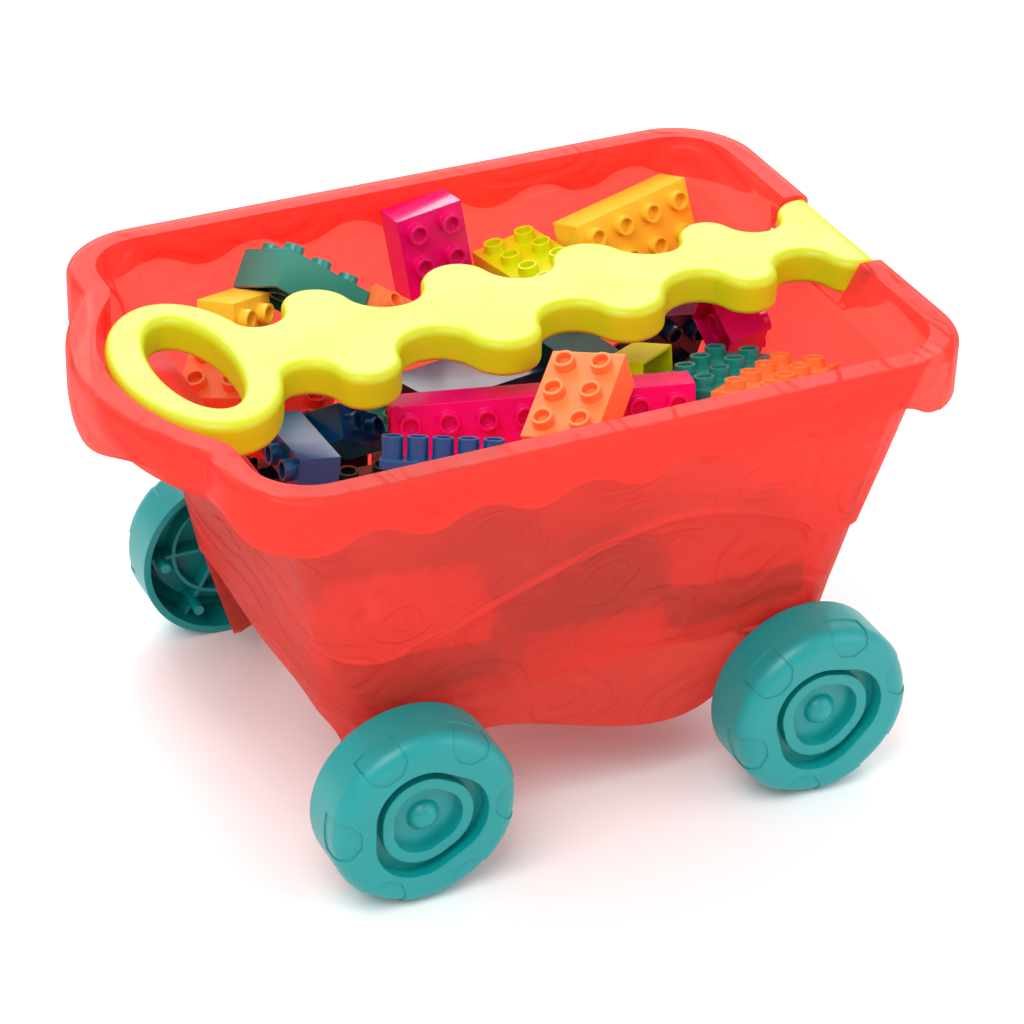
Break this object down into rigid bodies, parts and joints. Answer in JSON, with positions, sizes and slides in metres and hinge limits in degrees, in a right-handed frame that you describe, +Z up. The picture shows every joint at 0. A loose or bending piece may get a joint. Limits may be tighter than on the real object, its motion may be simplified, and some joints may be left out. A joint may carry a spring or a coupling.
{
  "type": "toy pull-along wagon",
  "caption": "Toy pull-along wagon: a tapered see-through tub with a wavy skirted rim, chunky wheels and a wavy fold-over handle, loaded with loose stud building bricks.",
  "frame": {"origin": "on the ground under the middle of the whole toy", "axes": "+X along the wagon towards the end where the handle is hinged, +Z up, +Y to the left"},
  "size_m": [0.3826, 0.2682, 0.2252],
  "materials": {
    "amber": "satin gloss",
    "blue": "satin gloss",
    "coral": "translucent satin",
    "lime": "satin gloss",
    "magenta": "satin gloss",
    "navy": "satin gloss",
    "olive": "satin gloss",
    "orange": "satin gloss",
    "pine": "satin gloss",
    "red": "satin gloss",
    "sea": "satin gloss",
    "steel": "polished",
    "teal": "satin gloss"
  },
  "bodies": {
    "wagon": {"amber_short_brick": "amber", "blue_front_brick": "blue", "blue_side_brick": "blue", "buried_brick_1": "navy", "buried_brick_10": "blue", "buried_brick_11": "red", "buried_brick_12": "pine", "buried_brick_13": "orange", "buried_brick_14": "navy", "buried_brick_15": "sea", "buried_brick_16": "navy", "buried_brick_2": "magenta", "buried_brick_3": "blue", "buried_brick_4": "red", "buried_brick_5": "pine", "buried_brick_6": "orange", "buried_brick_7": "navy", "buried_brick_8": "sea", "buried_brick_9": "magenta", "lime_stud_brick": "olive", "magenta_end_brick": "magenta", "magenta_long_brick": "magenta", "navy_open_brick": "navy", "navy_smooth_brick": "navy", "orange_ring_brick": "orange", "orange_short_brick": "orange", "orange_stud_brick": "orange", "pine_smooth_brick": "pine", "red_brick": "red", "teal_stud_brick": "sea", "tub": "coral", "yellow_open_brick": "olive"},
    "handle": {"handle_top": "lime", "handle_bottom": "lime", "hinge_pin": "steel"},
    "rear_wheels": {"rear_axle": "steel", "rear_left_washer": "steel", "rear_right_washer": "steel", "rear_left_wheel": "teal", "rear_right_wheel": "teal"},
    "front_wheels": {"front_axle": "steel", "front_left_washer": "steel", "front_right_washer": "steel", "front_left_wheel": "teal", "front_right_wheel": "teal"},
    "lifted_amber_long": {"amber_long_brick": "amber"},
    "lifted_magenta_tilted": {"magenta_tilted_brick": "magenta"},
    "lifted_teal_corner": {"teal_corner_brick": "sea"},
    "lifted_orange_leaning": {"orange_leaning_brick": "orange"},
    "lifted_blue_post": {"blue_post_plate": "blue"}
  },
  "joints": [
    {"name": "handle_hinge", "type": "hinge", "parent": "wagon", "child": "handle", "pos_m": [0.18235, 0, 0.2133], "axis": [0, 1, 0], "range_deg": [0, 150]},
    {"name": "rear_wheels_roll", "type": "hinge", "parent": "wagon", "child": "rear_wheels", "pos_m": [-0.08385, 0, 0.045], "axis": [0, 1, 0], "continuous": true},
    {"name": "front_wheels_roll", "type": "hinge", "parent": "wagon", "child": "front_wheels", "pos_m": [0.11875, 0, 0.045], "axis": [0, 1, 0], "continuous": true},
    {"name": "lift_amber_long_brick", "type": "slide", "parent": "wagon", "child": "lifted_amber_long", "axis": [0, 0, 1], "range_m": [0, 0.12]},
    {"name": "lift_magenta_tilted_brick", "type": "slide", "parent": "wagon", "child": "lifted_magenta_tilted", "axis": [0, 0, 1], "range_m": [0, 0.12]},
    {"name": "lift_teal_corner_brick", "type": "slide", "parent": "wagon", "child": "lifted_teal_corner", "axis": [0, 0, 1], "range_m": [0, 0.12]},
    {"name": "lift_orange_leaning_brick", "type": "slide", "parent": "wagon", "child": "lifted_orange_leaning", "axis": [0, 0, 1], "range_m": [0, 0.12]},
    {"name": "lift_blue_post_plate", "type": "slide", "parent": "wagon", "child": "lifted_blue_post", "axis": [0, 0, 1], "range_m": [0, 0.12]}
  ]
}
